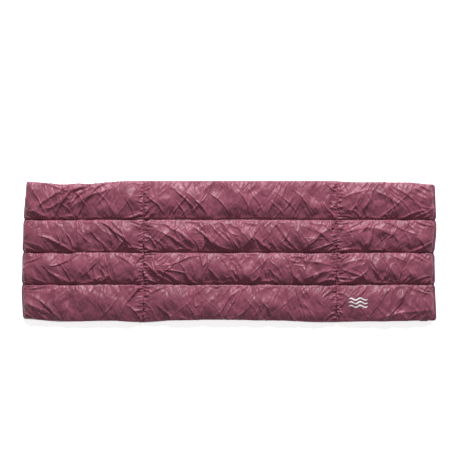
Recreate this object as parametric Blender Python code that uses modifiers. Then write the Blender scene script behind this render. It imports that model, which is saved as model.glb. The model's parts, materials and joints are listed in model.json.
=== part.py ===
"""A heated body wrap: a soft blanket quilted in four lengthwise channels and folded in three.

Metres, +Z up. X runs along the length, Y across the channels. The origin is under the middle of
the blanket, on the surface that it lies on. Seen from below upwards each panel is a flat lining, a
felt carrier with its thermostat, a meandering carbon heating ribbon, a reflecting foil, a quilt
backing, four loose fills and the quilted face. The wiring runs in a raceway along the -Y edge.
"""

import math

import bmesh
import bpy
from mathutils import Matrix

# Overall size and the quilting grid
LENGTH = 1.800
WIDTH = 0.616
CROWN = 0.046
LEFT_PANEL = 0.529
RIGHT_PANEL = 0.434
CHANNEL_SEAMS = (-0.142, -0.004, 0.138)
PANEL_GAP = 0.0008
CENTRE_DIP = 0.006
END_DIP = 0.016
END_DIP_SPAN = 0.7

# Quilted shell
SHELL = 0.0010
HEM_WIDTH = 0.013
EDGE_RISE = 0.012
PUFF = 0.6
SEAM_PUFF = 0.15
SEAM_FLAT = 0.003
SEAM_RISE = 0.070
END_RISE = 0.050

# Flat layers, from the resting plane up
LINING = 0.0010
CARRIER = 0.0040
RIBBON = 0.0008
FOIL = 0.0005
BACKING = 0.0006
LAYER_GAP = 0.0004
LAYER_INSET = 0.014
HEM_INSET = 0.031
SEAM_INSET = 0.010

# Fills
FILL_CLEARANCE = 0.003
FILL_EDGE_INSET = 0.013
FILL_SEAM_INSET = 0.006

# Heating ribbon
RIBBON_WIDTH = 0.012
RIBBON_PITCH = 0.062
RIBBON_MARGIN = 0.030

# Thermostats and sensor, each in a round pocket of the carrier
THERMOSTAT_RADIUS = 0.008
SENSOR_RADIUS = 0.003
SENSOR_X = 0.060
POCKET_CLEARANCE = 0.001

# Wiring
WIRE_RADIUS = 0.0015
WIRE_CLEARANCE = 0.004
WIRE_POINTS = 9

# Power inlet in the -Y edge of the right panel
INLET_FROM_END = 0.058
INLET_OVERHANG = 0.0015
INLET_CLEARANCE = 0.0005
SOCKET_WIDTH = 0.0200
SOCKET_DEPTH = 0.0130
SOCKET_HEIGHT = 0.0046
SOCKET_SIDE_WALL = 0.0050
SOCKET_BACK_WALL = 0.0065
SOCKET_ROOF = 0.0013
CONTACT_BAR_WIDTH = 0.0140
CONTACT_BAR_DEPTH = 0.0030
CONTACT_BAR_HEIGHT = 0.0026
CONTACT_CLEARANCE = 0.0004
BLADE_WIDTH = 0.0016
BLADE_REACH = 0.0030
BLADE_HEIGHT = 0.0022
BLADE_SPACING = 0.0080

# Stitching
THREAD_RADIUS = 0.00045
THREAD_CLEARANCE = 0.0004
VALLEY_LIFT = 0.0012
HEM_STITCH_INSET = 0.008
THREAD_POINTS = 12

# Heat mark printed on a film
MARK_FROM_SEAM = 0.091
MARK_LENGTH = 0.095
MARK_WIDTH = 0.043
MARK_GAP = 0.0008
MARK_THICKNESS = 0.0004

# Folding: how far a folded panel's crown stays over the crown it faces, halved
FOLD_CLEARANCE = 0.002

# Heights of the layers' undersides
CARRIER_UNDER = LINING + LAYER_GAP
RIBBON_UNDER = CARRIER_UNDER + CARRIER + LAYER_GAP
FOIL_UNDER = RIBBON_UNDER + RIBBON + LAYER_GAP
BACKING_UNDER = FOIL_UNDER + FOIL + LAYER_GAP
HEM_SEAT = LINING + LAYER_GAP
INLET_TOP = HEM_SEAT + SOCKET_HEIGHT + 2 * SOCKET_ROOF
QUILT_LINE = max(BACKING_UNDER + BACKING, INLET_TOP) + LAYER_GAP
HINGE_HEIGHT = CROWN + FOLD_CLEARANCE

# What the inlet and the leads leave free along the -Y edge
INLET_WIDTH = SOCKET_WIDTH + 2 * SOCKET_SIDE_WALL
INLET_DEPTH = SOCKET_DEPTH + SOCKET_BACK_WALL
COVER_INSET = INLET_DEPTH - INLET_OVERHANG + WIRE_CLEARANCE
WIRE_FROM_EDGE = COVER_INSET + WIRE_RADIUS + LAYER_GAP
RACEWAY_INSET = WIRE_FROM_EDGE + WIRE_RADIUS + WIRE_CLEARANCE

LEFT_SEAM = LEFT_PANEL - LENGTH / 2
RIGHT_SEAM = LENGTH / 2 - RIGHT_PANEL
PANELS = {
    "left": (-LENGTH / 2, LEFT_SEAM - PANEL_GAP / 2),
    "centre": (LEFT_SEAM + PANEL_GAP / 2, RIGHT_SEAM - PANEL_GAP / 2),
    "right": (RIGHT_SEAM + PANEL_GAP / 2, LENGTH / 2),
}
CHANNEL_STEPS = (0.0, 0.07, 0.18, 0.33, 0.5, 0.67, 0.82, 0.93, 1.0)
HEM_STEPS = (0.0, HEM_WIDTH, 0.020, 0.029, 0.045)
SEAM_STEPS = (0.0, SEAM_FLAT, 0.012, 0.032, 0.073)

MATERIALS = {
    "face_nylon": ("#7E3A52", 0.38, 0.0),
    "lining_nylon": ("#6E3248", 0.45, 0.0),
    "fill_down": ("#EDE9E1", 0.95, 0.0),
    "backing_scrim": ("#C9C4BC", 0.85, 0.0),
    "foil": ("#D9DBDD", 0.22, 1.0),
    "carbon_ribbon": ("#202225", 0.60, 0.0),
    "felt": ("#8F8B86", 0.95, 0.0),
    "thermostat_case": ("#C8C3B4", 0.40, 0.8),
    "sensor_epoxy": ("#1F3B2C", 0.35, 0.0),
    "wire_jacket": ("#1B1B1D", 0.55, 0.0),
    "inlet_plastic": ("#141416", 0.45, 0.0),
    "contact_brass": ("#C9A24A", 0.30, 1.0),
    "thread": ("#5E2A3C", 0.70, 0.0),
    "mark_film": ("#E4E6E8", 0.30, 0.2),
}


def clear_scene():
    for old in list(bpy.data.objects):
        bpy.data.objects.remove(old, do_unlink=True)


def linear(hex_colour):
    channels = (int(hex_colour[i : i + 2], 16) / 255 for i in (1, 3, 5))
    return tuple(
        c / 12.92 if c <= 0.04045 else ((c + 0.055) / 1.055) ** 2.4 for c in channels
    )


def material(slot):
    """The named material, made the first time that it is asked for."""
    known = bpy.data.materials.get(slot)
    if known:
        return known
    colour, roughness, metallic = MATERIALS[slot]
    made = bpy.data.materials.new(slot)
    made.use_nodes = True
    shader = made.node_tree.nodes["Principled BSDF"]
    shader.inputs["Base Color"].default_value = (*linear(colour), 1.0)
    shader.inputs["Roughness"].default_value = roughness
    shader.inputs["Metallic"].default_value = metallic
    made.diffuse_color = (*linear(colour), 1.0)
    return made


def smoothstep(x):
    x = min(max(x, 0.0), 1.0)
    return x * x * (3.0 - 2.0 * x)


def half_width(x):
    """Half the blanket's width at x: the cross seams hold it wide, and it draws in between."""
    if x < LEFT_SEAM:
        along = (LEFT_SEAM - x) / LEFT_PANEL
        return WIDTH / 2 - END_DIP * math.sin(math.pi * END_DIP_SPAN * along)
    if x > RIGHT_SEAM:
        along = (x - RIGHT_SEAM) / RIGHT_PANEL
        return WIDTH / 2 - END_DIP * math.sin(math.pi * END_DIP_SPAN * along)
    along = (x - LEFT_SEAM) / (RIGHT_SEAM - LEFT_SEAM)
    return WIDTH / 2 - CENTRE_DIP * math.sin(math.pi * along)


def channel_edges(channel, x):
    """The two seam lines that bound a channel at x, counted from -Y."""
    lines = (-half_width(x), *CHANNEL_SEAMS, half_width(x))
    return lines[channel], lines[channel + 1]


def shell_underside(x, channel, share):
    """Height of the quilted shell's underside at a share of the way across a channel."""
    low, high = channel_edges(channel, x)
    from_edge = math.inf
    if channel == 0:
        from_edge = share * (high - low)
    elif channel == len(CHANNEL_SEAMS):
        from_edge = (1 - share) * (high - low)
    from_hem = LENGTH / 2 - HEM_WIDTH - abs(x)
    from_seam = max(min(abs(x - LEFT_SEAM), abs(x - RIGHT_SEAM)) - SEAM_FLAT, 0.0)
    rise = smoothstep(min(from_edge, max(from_hem, 0.0)) / EDGE_RISE)
    seat = HEM_SEAT + (QUILT_LINE - HEM_SEAT) * rise
    end = math.sin(math.pi / 2 * min(max(from_hem / END_RISE, 0.0), 1.0)) ** PUFF
    seam = math.sin(math.pi / 2 * min(from_seam / SEAM_RISE, 1.0)) ** 0.8
    puff = math.sin(math.pi * min(max(share, 0.0), 1.0)) ** PUFF * end
    puff *= SEAM_PUFF + (1 - SEAM_PUFF) * seam
    return seat + (CROWN - SHELL - seat) * puff


def steps_between(start, end, start_steps, end_steps, count):
    """Stations from start to end: close together at both ends, even in between."""
    near = [start + s for s in start_steps]
    far = [end - s for s in reversed(end_steps)]
    span = (far[0] - near[-1]) / count
    return near + [near[-1] + span * i for i in range(1, count)] + far


def panel_stations(panel):
    start, end = PANELS[panel]
    start_steps = HEM_STEPS if panel == "left" else SEAM_STEPS
    end_steps = HEM_STEPS if panel == "right" else SEAM_STEPS
    return steps_between(start, end, start_steps, end_steps, 3)


def layer_span(panel, seam_inset=SEAM_INSET, hem_inset=HEM_INSET):
    """The X range of a layer inside a panel."""
    start, end = PANELS[panel]
    start += hem_inset if panel == "left" else seam_inset
    end -= hem_inset if panel == "right" else seam_inset
    return start, end


def keep(obj, name, slot, body):
    """Names an object, gives it its material and hangs it from its body's empty."""
    obj.name = name
    obj.data.name = name
    for group in list(obj.users_collection):
        group.objects.unlink(obj)
    bpy.data.collections["heated_wrap"].objects.link(obj)
    obj.data.materials.clear()
    obj.data.materials.append(material(slot))
    pivot = bpy.data.objects[BODY_PIVOTS[body]]
    obj.parent = pivot
    obj.matrix_parent_inverse = Matrix.Translation(pivot.location).inverted()
    return obj


def cutter(obj, name):
    obj.name = name
    for group in list(obj.users_collection):
        group.objects.unlink(obj)
    bpy.data.collections["cutters"].objects.link(obj)
    obj.display_type = "WIRE"
    obj.hide_render = True
    return obj


def boolean(obj, other, operation="DIFFERENCE"):
    change = obj.modifiers.new(operation.title(), "BOOLEAN")
    change.operation = operation
    change.object = other
    change.solver = "EXACT"


def mapped_grid(columns, rows, place):
    """A grid whose vertex in column i and row j goes to place(columns[i], rows[j])."""
    grid = bmesh.new()
    bmesh.ops.create_grid(
        grid, x_segments=len(columns) - 1, y_segments=len(rows) - 1, size=1
    )
    for vertex in grid.verts:
        i = round((vertex.co.x + 1) / 2 * (len(columns) - 1))
        j = round((vertex.co.y + 1) / 2 * (len(rows) - 1))
        vertex.co = place(columns[i], rows[j])
    return grid


def object_from(grid, name):
    mesh = bpy.data.meshes.new(name)
    bmesh.ops.recalc_face_normals(grid, faces=grid.faces)
    if grid.faces[0].normal.z < 0 and all(f.normal.z <= 0 for f in grid.faces):
        bmesh.ops.reverse_faces(grid, faces=grid.faces)
    grid.to_mesh(mesh)
    grid.free()
    mesh.shade_smooth()
    mesh.set_sharp_from_angle(angle=math.radians(50))
    obj = bpy.data.objects.new(name, mesh)
    bpy.data.collections["heated_wrap"].objects.link(obj)
    return obj


def box(centre, size):
    bpy.ops.mesh.primitive_cube_add(size=1, location=centre)
    made = bpy.context.object
    made.data.transform(Matrix.Diagonal((*size, 1)))
    return made


def cylinder(centre, radius, depth, sides=32):
    bpy.ops.mesh.primitive_cylinder_add(
        vertices=sides, radius=radius, depth=depth, location=centre
    )
    made = bpy.context.object
    made.data.shade_smooth()
    made.data.set_sharp_from_angle(angle=math.radians(40))
    return made


def tube(points, radius, name):
    """A round tube along a line of points."""
    curve = bpy.data.curves.new(name, "CURVE")
    curve.dimensions = "3D"
    curve.bevel_depth = radius
    curve.bevel_resolution = 1
    curve.use_fill_caps = True
    spline = curve.splines.new("POLY")
    spline.points.add(len(points) - 1)
    for point, place in zip(spline.points, points):
        point.co = (*place, 1.0)
    return bpy.data.objects.new(name, curve)


def thicken(sheet, thickness):
    """Gives an open surface its thickness, upwards."""
    solid = sheet.modifiers.new("Thickness", "SOLIDIFY")
    solid.thickness = thickness
    solid.offset = 1.0


def flat_layer(name, panel, underside, thickness, slot, insets, span):
    """A sheet that follows the panel's outline, drawn in by (-Y, +Y) insets."""
    start, end = span
    inside = [x for x in panel_stations(panel) if start < x < end]
    near, far = insets

    def place(x, side):
        inset = near if side < 0 else far
        return x, side * (half_width(x) - inset), underside

    sheet = object_from(
        mapped_grid([start, *inside, end], (-1, 1), place), name
    )
    thicken(sheet, thickness)
    return keep(sheet, name, slot, panel)


def make_face(panel):
    """The quilted shell: four arched channels and a flat hem at a free end."""
    rows = [(c, s) for c in range(4) for s in CHANNEL_STEPS[:-1]] + [(3, 1.0)]

    def place(x, row):
        channel, share = row
        low, high = channel_edges(channel, x)
        return x, low + share * (high - low), shell_underside(x, channel, share)

    name = f"face_{panel}"
    shell = object_from(mapped_grid(panel_stations(panel), rows, place), name)
    thicken(shell, SHELL)
    return keep(shell, name, "face_nylon", panel)


def make_fill(panel, channel):
    """The loft in one channel: flat below, arched a little under the shell above."""
    start, end = layer_span(panel, seam_inset=0.012)
    inside = [x for x in panel_stations(panel) if start + 0.004 < x < end - 0.004]
    outer = len(CHANNEL_SEAMS)

    def place(x, share):
        low, high = channel_edges(channel, x)
        first = low + (FILL_EDGE_INSET if channel == 0 else FILL_SEAM_INSET)
        last = high - (FILL_EDGE_INSET if channel == outer else FILL_SEAM_INSET)
        y = first + share * (last - first)
        height = shell_underside(x, channel, (y - low) / (high - low))
        return x, y, height - FILL_CLEARANCE

    name = f"fill_{panel}_{channel + 1}"
    block = mapped_grid([start, *inside, end], CHANNEL_STEPS, place)
    grown = bmesh.ops.extrude_face_region(block, geom=block.faces[:])
    for part in grown["geom"]:
        if isinstance(part, bmesh.types.BMVert):
            part.co.z = QUILT_LINE
    return keep(object_from(block, name), name, "fill_down", panel)


def ribbon_outline(panel):
    """Both sides of a ribbon that crosses the panel back and forth, as one closed line."""
    start, end = layer_span(panel)
    start += RIBBON_MARGIN
    end -= RIBBON_MARGIN
    runs = 2 * round((end - start) / RIBBON_PITCH / 2)
    pitch = (end - start) / (runs - 1)
    reach = min(half_width(x) for x in panel_stations(panel)) - RACEWAY_INSET
    near, far = RIBBON_WIDTH - reach, reach - 2 * RIBBON_WIDTH
    path = []
    for run in range(runs):
        x = start + pitch * run
        ends = (near, far) if run % 2 == 0 else (far, near)
        path += [(x, y) for y in ends]
    half = RIBBON_WIDTH / 2
    sides = ([], [])
    for i, point in enumerate(path):
        before = path[i - 1] if i else None
        after = path[i + 1] if i + 1 < len(path) else None
        normals = []
        for a, b in ((before, point), (point, after)):
            if a and b:
                run = math.dist(a, b)
                normals.append(((a[1] - b[1]) / run, (b[0] - a[0]) / run))
        shift = [sum(n[k] for n in normals) for k in (0, 1)]
        for side, sign in zip(sides, (1, -1)):
            side.append(
                (point[0] + sign * half * shift[0], point[1] + sign * half * shift[1])
            )
    return sides[0] + sides[1][::-1]


def make_ribbon(panel):
    name = f"heating_ribbon_{panel}"
    curve = bpy.data.curves.new(name, "CURVE")
    curve.dimensions = "2D"
    curve.fill_mode = "BOTH"
    curve.extrude = RIBBON / 2
    outline = ribbon_outline(panel)
    spline = curve.splines.new("POLY")
    spline.points.add(len(outline) - 1)
    for point, (x, y) in zip(spline.points, outline):
        point.co = (x, y, 0.0, 1.0)
    spline.use_cyclic_u = True
    ribbon = bpy.data.objects.new(name, curve)
    ribbon.location.z = RIBBON_UNDER + RIBBON / 2
    return keep(ribbon, name, "carbon_ribbon", panel)


def pocket(carrier, spot, radius, name):
    """Cuts a round pocket through a carrier, and gives its middle."""
    centre = (*spot, CARRIER_UNDER + CARRIER / 2)
    hole = cylinder(centre, radius + POCKET_CLEARANCE, CARRIER * 3)
    boolean(carrier, cutter(hole, name))
    return centre


def make_thermostat(panel, carrier):
    """A button thermostat with its rim, in the middle of its panel's carrier."""
    start, end = PANELS[panel]
    spot = ((start + end) / 2, (CHANNEL_SEAMS[1] + CHANNEL_SEAMS[2]) / 2)
    centre = pocket(carrier, spot, THERMOSTAT_RADIUS, f"thermostat_pocket_{panel}")
    case = cylinder(centre, THERMOSTAT_RADIUS, CARRIER - LAYER_GAP)
    edge = case.modifiers.new("Rim", "BEVEL")
    edge.width = 0.0006
    edge.segments = 1
    keep(case, f"thermostat_{panel}", "thermostat_case", panel)


def make_sensor(carrier):
    """The bead that reads the mat's temperature."""
    spot = (SENSOR_X, (CHANNEL_SEAMS[0] + CHANNEL_SEAMS[1]) / 2)
    centre = pocket(carrier, spot, SENSOR_RADIUS, "sensor_pocket")
    bead = cylinder(centre, SENSOR_RADIUS, CARRIER - LAYER_GAP, 24)
    keep(bead, "temperature_sensor", "sensor_epoxy", "centre")


def make_wire(panel):
    """The lead along the raceway in one panel."""
    start, end = layer_span(panel)
    height = LINING + LAYER_GAP + WIRE_RADIUS
    line = []
    for i in range(WIRE_POINTS):
        x = start + (end - start) * i / (WIRE_POINTS - 1)
        line.append((x, WIRE_FROM_EDGE - half_width(x), height))
    name = f"lead_{panel}"
    keep(tube(line, WIRE_RADIUS, name), name, "wire_jacket", panel)


def make_inlet(face):
    """The socket for the power lead, let into the edge, with its two contact blades."""
    x = LENGTH / 2 - INLET_FROM_END
    front = -half_width(x) - INLET_OVERHANG
    back = front + INLET_DEPTH
    height = INLET_TOP - HEM_SEAT
    level = HEM_SEAT + height / 2
    size = (INLET_WIDTH, INLET_DEPTH, height)
    housing = box((x, (front + back) / 2, level), size)
    edge = housing.modifiers.new("Edges", "BEVEL")
    edge.width = 0.0008
    edge.segments = 2
    keep(housing, "inlet_housing", "inlet_plastic", "right")

    # a cutter runs this far past the wall that it opens
    past = 0.002
    mouth = box(
        (x, front + (SOCKET_DEPTH - past) / 2, level),
        (SOCKET_WIDTH, SOCKET_DEPTH + past, SOCKET_HEIGHT),
    )
    boolean(housing, cutter(mouth, "socket_space"))
    seat = box(
        (x, back + past / 2 - SOCKET_BACK_WALL / 2, level),
        (
            CONTACT_BAR_WIDTH + 2 * CONTACT_CLEARANCE,
            SOCKET_BACK_WALL + 2 * past,
            CONTACT_BAR_HEIGHT + 2 * CONTACT_CLEARANCE,
        ),
    )
    boolean(housing, cutter(seat, "contact_seat"))

    bar_y = back - CONTACT_BAR_DEPTH / 2
    bar_size = (CONTACT_BAR_WIDTH, CONTACT_BAR_DEPTH, CONTACT_BAR_HEIGHT)
    contacts = box((x, bar_y, level), bar_size)
    keep(contacts, "inlet_contacts", "contact_brass", "right")
    tip = front + SOCKET_DEPTH - BLADE_REACH
    for side in (-1, 1):
        blade = box(
            (x + side * BLADE_SPACING / 2, (tip + bar_y) / 2, level),
            (BLADE_WIDTH, bar_y - tip, BLADE_HEIGHT),
        )
        boolean(contacts, cutter(blade, f"contact_blade_{side}"), "UNION")

    # the shell's flank is cut away around the housing, out past the edge
    low = front - EDGE_RISE
    high = back + INLET_CLEARANCE
    opening = box(
        (x, (low + high) / 2, INLET_TOP / 2),
        (
            INLET_WIDTH + 2 * INLET_CLEARANCE,
            high - low,
            INLET_TOP + 2 * INLET_CLEARANCE,
        ),
    )
    boolean(face, cutter(opening, "inlet_opening"))


def thread_height(under):
    """Where a thread's middle runs over the shell whose underside is at this height."""
    return under + SHELL + THREAD_CLEARANCE + THREAD_RADIUS


def make_channel_thread(panel, seam):
    """Stitching in the valley between two channels."""
    start, end = layer_span(panel, hem_inset=HEM_INSET + 0.002)
    line = []
    for i in range(THREAD_POINTS):
        x = start + (end - start) * i / (THREAD_POINTS - 1)
        line.append((x, CHANNEL_SEAMS[seam], thread_height(QUILT_LINE) + VALLEY_LIFT))
    name = f"channel_stitch_{panel}_{seam + 1}"
    keep(tube(line, THREAD_RADIUS, name), name, "thread", panel)


def make_cross_thread(name, x):
    """Stitching across all channels in the valley where two panels meet."""
    line = []
    for channel in range(4):
        for share in CHANNEL_STEPS:
            low, high = channel_edges(channel, x)
            y = low + share * (high - low)
            inside = abs(y) < half_width(x) - EDGE_RISE
            if inside and (share > 0 or not line):
                height = thread_height(shell_underside(x, channel, share))
                line.append((x, y, height + VALLEY_LIFT))
    keep(tube(line, THREAD_RADIUS, name), name, "thread", "centre")


def make_hem_thread(panel, x):
    """The topstitch on the flat hem at a free end."""
    reach = half_width(x) - 0.006
    height = thread_height(HEM_SEAT)
    line = [
        (x, reach * (2 * i / (THREAD_POINTS - 1) - 1), height)
        for i in range(THREAD_POINTS)
    ]
    name = f"hem_stitch_{panel}"
    keep(tube(line, THREAD_RADIUS, name), name, "thread", panel)


def make_mark():
    """An oval film on the crown of the -Y channel, for a printed heat symbol."""
    steps = [i / 4 - 1 for i in range(9)]
    middle_x = RIGHT_SEAM + MARK_FROM_SEAM
    middle_y = sum(channel_edges(0, middle_x)) / 2

    def place(u, v):
        # a square bent into an oval
        x = middle_x + MARK_LENGTH / 2 * u * math.sqrt(1 - v * v / 2)
        y = middle_y + MARK_WIDTH / 2 * v * math.sqrt(1 - u * u / 2)
        low, high = channel_edges(0, x)
        height = shell_underside(x, 0, (y - low) / (high - low))
        return x, y, height + SHELL + MARK_GAP

    film = object_from(mapped_grid(steps, steps, place), "heat_mark")
    thicken(film, MARK_THICKNESS)
    keep(film, "heat_mark", "mark_film", "right")


def make_panel(panel):
    """Everything that one panel holds, from the lining up. Gives its shell and carrier."""
    whole, inner = PANELS[panel], layer_span(panel)
    wired, covered = (RACEWAY_INSET, LAYER_INSET), (COVER_INSET, LAYER_INSET)
    layers = (
        ("lining", 0.0, LINING, "lining_nylon", (0.0, 0.0), whole),
        ("carrier", CARRIER_UNDER, CARRIER, "felt", wired, inner),
        ("foil", FOIL_UNDER, FOIL, "foil", covered, inner),
        ("backing", BACKING_UNDER, BACKING, "backing_scrim", covered, inner),
    )
    made = {}
    for label, underside, thickness, slot, insets, span in layers:
        name = f"{label}_{panel}"
        made[label] = flat_layer(name, panel, underside, thickness, slot, insets, span)
    carrier = made["carrier"]
    make_thermostat(panel, carrier)
    make_ribbon(panel)
    for channel in range(4):
        make_fill(panel, channel)
    for seam in range(len(CHANNEL_SEAMS)):
        make_channel_thread(panel, seam)
    make_wire(panel)
    return make_face(panel), carrier


def make_pivot(name, place):
    pivot = bpy.data.objects.new(name, None)
    pivot.location = place
    pivot.empty_display_size = 0.05
    bpy.data.collections["heated_wrap"].objects.link(pivot)


BODY_PIVOTS = {
    "left": "left_fold_axis",
    "centre": "wrap_origin",
    "right": "right_fold_axis",
}


def main():
    clear_scene()
    for title in ("heated_wrap", "cutters"):
        group = bpy.data.collections.new(title)
        bpy.context.scene.collection.children.link(group)
    make_pivot("wrap_origin", (0.0, 0.0, 0.0))
    make_pivot("left_fold_axis", (LEFT_SEAM, 0.0, HINGE_HEIGHT))
    make_pivot("right_fold_axis", (RIGHT_SEAM, 0.0, HINGE_HEIGHT))
    shells, carriers = {}, {}
    for panel in PANELS:
        shells[panel], carriers[panel] = make_panel(panel)
    make_sensor(carriers["centre"])
    make_inlet(shells["right"])
    make_cross_thread("cross_stitch_left", LEFT_SEAM)
    make_cross_thread("cross_stitch_right", RIGHT_SEAM)
    make_hem_thread("left", HEM_STITCH_INSET - LENGTH / 2)
    make_hem_thread("right", LENGTH / 2 - HEM_STITCH_INSET)
    make_mark()


main()
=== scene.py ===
"""A heated body wrap: a channel-quilted blanket of thin glossy nylon, lying open on a pale floor.

The quilted face is a cloth cut larger than the quilt and gathered into its seams. A small cloth
solver settles it over the loft of the four channels, and sharp creases, puckers and ruffles are
then raised on it. Every soft layer is cut into pieces at the two cross seams, where the end panels
fold.
"""

import json
import math

import bmesh
import bpy
import numpy as np
from bpy.props import FloatProperty, IntProperty, PointerProperty, StringProperty
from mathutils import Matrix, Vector
from mathutils.bvhtree import BVHTree


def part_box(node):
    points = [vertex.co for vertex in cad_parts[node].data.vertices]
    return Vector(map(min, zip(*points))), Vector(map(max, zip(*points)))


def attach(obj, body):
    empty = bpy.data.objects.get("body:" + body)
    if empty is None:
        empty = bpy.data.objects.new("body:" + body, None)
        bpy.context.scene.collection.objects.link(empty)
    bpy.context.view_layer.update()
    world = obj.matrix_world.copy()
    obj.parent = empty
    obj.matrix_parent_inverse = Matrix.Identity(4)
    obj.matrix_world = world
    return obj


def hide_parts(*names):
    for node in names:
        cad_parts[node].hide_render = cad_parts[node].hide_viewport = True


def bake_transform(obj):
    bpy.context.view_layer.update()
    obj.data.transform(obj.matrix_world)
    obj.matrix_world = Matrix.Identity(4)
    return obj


bl_info = {
    "name": "Heated quilted wrap",
    "version": (1, 0, 0),
    "blender": (4, 5, 0),
    "location": "View3D > Sidebar > Wrap",
    "description": "Builds the cloth, stitching and fittings of a heated quilted body wrap",
    "category": "Object",
}

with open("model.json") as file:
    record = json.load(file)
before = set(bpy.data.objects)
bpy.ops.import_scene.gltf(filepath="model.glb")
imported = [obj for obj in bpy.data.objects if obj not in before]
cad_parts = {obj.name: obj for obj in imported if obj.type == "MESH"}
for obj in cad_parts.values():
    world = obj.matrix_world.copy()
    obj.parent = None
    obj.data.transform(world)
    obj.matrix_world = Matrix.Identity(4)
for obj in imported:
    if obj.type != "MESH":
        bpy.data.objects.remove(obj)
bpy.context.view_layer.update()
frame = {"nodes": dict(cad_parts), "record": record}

MM = 0.001


def box_of(node):
    low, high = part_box(node)
    return Vector(low), Vector(high)


JOINTS = {j["name"]: j for j in frame["record"]["behaviour"]["joints"]}
LEFT_SEAM = JOINTS["left_fold"]["pos_m"][0]
RIGHT_SEAM = JOINTS["right_fold"]["pos_m"][0]
MIDDLE = (LEFT_SEAM + RIGHT_SEAM) / 2
END = box_of("face_right")[1].x
HALF_WIDTH = box_of("lining_centre")[1].y
CROWN = box_of("face_centre")[1].z
LINING_TOP = box_of("lining_centre")[1].z
QUILT_TOP = box_of("fill_centre_1")[0].z
CHANNEL_SEAMS = [
    (box_of(f"channel_stitch_centre_{i}")[0].y + box_of(f"channel_stitch_centre_{i}")[1].y) / 2
    for i in (1, 2, 3)
]
LINES = (-HALF_WIDTH, *CHANNEL_SEAMS, HALF_WIDTH)
STOPS = (-END, LEFT_SEAM, MIDDLE, RIGHT_SEAM, END)
# the cloth's level at a channel seam and at the hem, and the width of the two end hems
VALLEY = QUILT_TOP + 0.9 * MM
HEM_LEVEL = LINING_TOP + 0.9 * MM
HEM = 13 * MM
LEFT_HEM = 5 * MM
FACE_THICKNESS = 0.5 * MM
LINING_THICKNESS = 0.8 * MM
# how far to each side of a cross seam the inner layers are cut finely enough to bend
BLEND_REACH = 60 * MM
# what the down leaves free: beside a seam, at an end of the wrap, and under the face
SEAM_GAP = 14 * MM
END_GAP = 34 * MM
FACE_GAP = 1.3 * MM
# the strip of the inner layers that is drawn in, from the long edges and from the ends
EDGE_STRIP = 68 * MM
END_STRIP = 70 * MM
PARTS = {
    "left": (-END, LEFT_SEAM),
    "centre_west": (LEFT_SEAM, MIDDLE),
    "centre_east": (MIDDLE, RIGHT_SEAM),
    "right": (RIGHT_SEAM, END),
}
# how far each edge lies inside the widest line, at a few places along it
PULL_BACK_EDGE = (
    (-END, 0.004), (-0.67, 0.019), (-0.42, 0.001), (0.42, 0.001), (0.56, 0.007), (0.76, 0.008),
    (END, 0.017),
)
PULL_FRONT_EDGE = (
    (-END, 0.015), (-0.72, 0.003), (-0.52, 0.007), (LEFT_SEAM, 0.0), (-0.22, 0.009),
    (-0.06, 0.012), (0.20, 0.008), (0.40, 0.0), (0.62, 0.004), (END, 0.008),
)
PULL_LEFT_END = ((-0.30, 0.006), (-0.17, 0.0), (-0.05, 0.003), (0.10, 0.007), (0.30, 0.020))
PULL_RIGHT_END = ((-0.30, 0.0), (-0.14, 0.006), (-0.01, 0.008), (0.10, 0.0), (0.30, 0.006))
CORNER_RADIUS = 14 * MM
# deep folds that the cloth was left in: from, to, height in mm, half width in mm
SET_FOLDS = (
    ((-0.826, 0.196), (-0.622, 0.289), 8.0, 11.0),
    ((-0.770, 0.180), (-0.600, 0.284), 4.0, 9.0),
    ((-0.705, 0.166), (-0.486, 0.272), 8.0, 14.0),
    ((-0.885, -0.215), (-0.745, -0.285), 6.0, 10.0),
    ((-0.880, -0.180), (-0.760, -0.250), 3.0, 8.0),
    ((-0.880, 0.045), (-0.790, 0.010), 4.0, 7.0),
    ((0.490, 0.075), (0.625, 0.105), 5.0, 8.0),
    ((0.625, 0.105), (0.590, 0.015), 6.0, 9.0),
    ((0.625, 0.105), (0.760, 0.030), 5.0, 9.0),
    ((0.490, 0.225), (0.620, 0.262), 4.0, 8.0),
    ((0.620, 0.262), (0.575, 0.165), 5.0, 9.0),
    ((0.620, 0.262), (0.770, 0.170), 5.0, 9.0),
    ((0.485, -0.060), (0.610, -0.030), 4.5, 7.0),
    ((0.485, -0.075), (0.600, -0.128), 4.5, 7.0),
    ((0.610, -0.030), (0.650, -0.125), 5.0, 8.0),
    ((0.300, 0.115), (0.445, 0.050), 4.0, 9.0),
    ((0.330, 0.030), (0.450, 0.105), 3.5, 8.0),
    ((0.310, -0.035), (0.450, -0.065), 4.0, 8.0),
    ((0.320, -0.120), (0.450, -0.080), 4.0, 8.0),
    ((0.640, -0.285), (0.880, -0.250), 4.0, 9.0),
    ((-0.250, 0.110), (-0.150, 0.010), 3.0, 6.0),
    ((0.030, 0.120), (0.130, 0.015), 3.5, 7.0),
    ((0.130, 0.120), (0.060, 0.020), 3.0, 6.0),
)
# long creases, both ways of slanting: their pitch, the way, where in the channel they start and
# end, their slant, and their height in mm
LONG_CREASES = (
    (0.054, 1, (0.35, 0.85), (0.04, 0.16), (0.20, 1.10), (1.0, 4.8)),
    (0.160, -1, (0.60, 0.90), (0.05, 0.30), (0.3, 1.2), (1.6, 3.6)),
)
# facets of the crumpled cloth: their size, their height in mm and their seed
FACETS = ((0.085, 1.6, 41), (0.055, 0.9, 42), (0.034, 0.4, 43))
# the way the creases of each channel lean, front to back, and how that changes along the wrap
SEAM_LEAN = (0.3, 1.0, 0.9, -0.8)
LEAN_ALONG = ((-END, 1.0), (-0.4, 1.2), (-0.1, 0.6), (0.2, 1.0), (0.5, -0.6), (END, 0.8))


# ---------------------------------------------------------------- settings


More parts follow.
